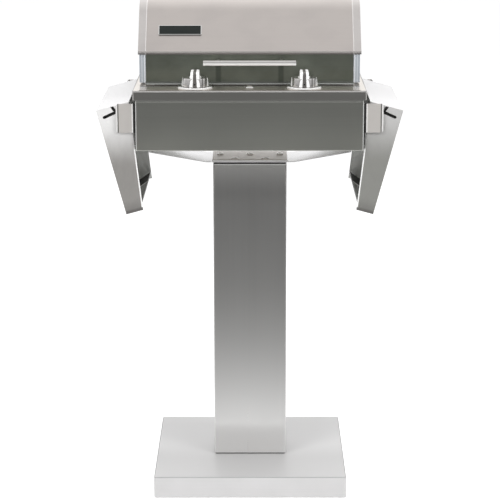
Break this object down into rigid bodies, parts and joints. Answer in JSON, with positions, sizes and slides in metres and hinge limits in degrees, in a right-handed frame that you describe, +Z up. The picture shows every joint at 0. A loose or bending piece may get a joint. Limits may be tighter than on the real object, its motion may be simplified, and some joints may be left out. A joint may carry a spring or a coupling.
{
  "type": "electric pedestal grill",
  "caption": "Electric grill with a lift-up hood and fold-down side shelves, on a square column with a flat foot.",
  "frame": {"origin": "on the floor under the middle of the square foot", "axes": "+Z up, -Y towards the knobs and the front of the grill, +X towards the grill's right-hand shelf seen from the front"},
  "size_m": [0.6774, 0.44, 1.119],
  "materials": {
    "brushed_sheet": "brushed",
    "pale_sheet": "fine brushed",
    "satin_sheet": "satin",
    "polished_metal": "polished",
    "dark_steel": "dull",
    "black_plate": "gloss",
    "moulded_black": "matt",
    "rubber": "matt",
    "ceramic": "matt",
    "lamp_lens": "gloss",
    "lead_sheath": "matt"
  },
  "bodies": {
    "stand": {"base_shell": "pale_sheet", "base_ballast": "dark_steel", "column_foot_plate": "dark_steel", "column_tube": "brushed_sheet", "column_head_plug": "dark_steel", "cradle": "pale_sheet", "column_cap_plate": "satin_sheet", "housing_shell": "brushed_sheet", "rear_panel": "brushed_sheet", "cable_gland": "moulded_black", "supply_lead": "lead_sheath", "top_frame": "brushed_sheet", "control_panel": "satin_sheet", "firebox_tub": "brushed_sheet", "heat_reflector": "polished_metal", "heating_element_left": "dark_steel", "heating_element_right": "dark_steel", "terminal_block_left": "ceramic", "terminal_block_right": "ceramic", "grate_rail_front": "brushed_sheet", "grate_rail_rear": "brushed_sheet", "cooking_grate_left": "dark_steel", "cooking_grate_right": "dark_steel", "rear_baffle": "brushed_sheet", "knob_bezel_left": "polished_metal", "knob_bezel_right": "polished_metal", "control_left": "moulded_black", "control_right": "moulded_black", "lamp_bezel": "polished_metal", "pilot_lamp": "lamp_lens", "hinge_bracket_left": "brushed_sheet", "hinge_bracket_right": "brushed_sheet", "hinge_pin_left": "polished_metal", "hinge_pin_right": "polished_metal", "hood_rest_strip": "rubber", "shelf_bracket_front_left": "satin_sheet", "shelf_bracket_front_right": "satin_sheet", "shelf_bracket_rear_left": "satin_sheet", "shelf_bracket_rear_right": "satin_sheet", "shelf_bumper_left": "rubber", "shelf_bumper_right": "rubber", "tray_runner_left": "brushed_sheet", "tray_runner_right": "brushed_sheet"},
    "hood": {"hood_skin": "satin_sheet", "hood_front": "brushed_sheet", "hood_end_left": "brushed_sheet", "hood_end_right": "brushed_sheet", "handle_bar": "polished_metal", "handle_post_left": "polished_metal", "handle_post_right": "polished_metal", "name_plate": "black_plate"},
    "knob_left": {"knob_left": "polished_metal", "knob_shaft_left": "dark_steel"},
    "knob_right": {"knob_right": "polished_metal", "knob_shaft_right": "dark_steel"},
    "shelf_left": {"shelf_left": "brushed_sheet"},
    "shelf_right": {"shelf_right": "brushed_sheet"},
    "grease_tray": {"grease_tray": "brushed_sheet"}
  },
  "joints": [
    {"name": "hood_hinge", "type": "hinge", "parent": "stand", "child": "hood", "pos_m": [0, 0.165, 0.966], "axis": [-1, 0, 0], "range_deg": [0, 88]},
    {"name": "left_knob_turn", "type": "hinge", "parent": "stand", "child": "knob_left", "pos_m": [-0.1205, -0.157, 0.9422], "axis": [0, 0, -1], "range_deg": [0, 270]},
    {"name": "right_knob_turn", "type": "hinge", "parent": "stand", "child": "knob_right", "pos_m": [0.1205, -0.157, 0.9422], "axis": [0, 0, -1], "range_deg": [0, 270]},
    {"name": "left_shelf_fold", "type": "hinge", "parent": "stand", "child": "shelf_left", "pos_m": [-0.2897, 0, 0.89], "axis": [0, 1, 0], "range_deg": [0, 105.2]},
    {"name": "right_shelf_fold", "type": "hinge", "parent": "stand", "child": "shelf_right", "pos_m": [0.2897, 0, 0.89], "axis": [0, -1, 0], "range_deg": [0, 105.2]},
    {"name": "grease_tray_slide", "type": "slide", "parent": "stand", "child": "grease_tray", "axis": [0, 1, 0], "range_m": [0, 0.22]}
  ]
}
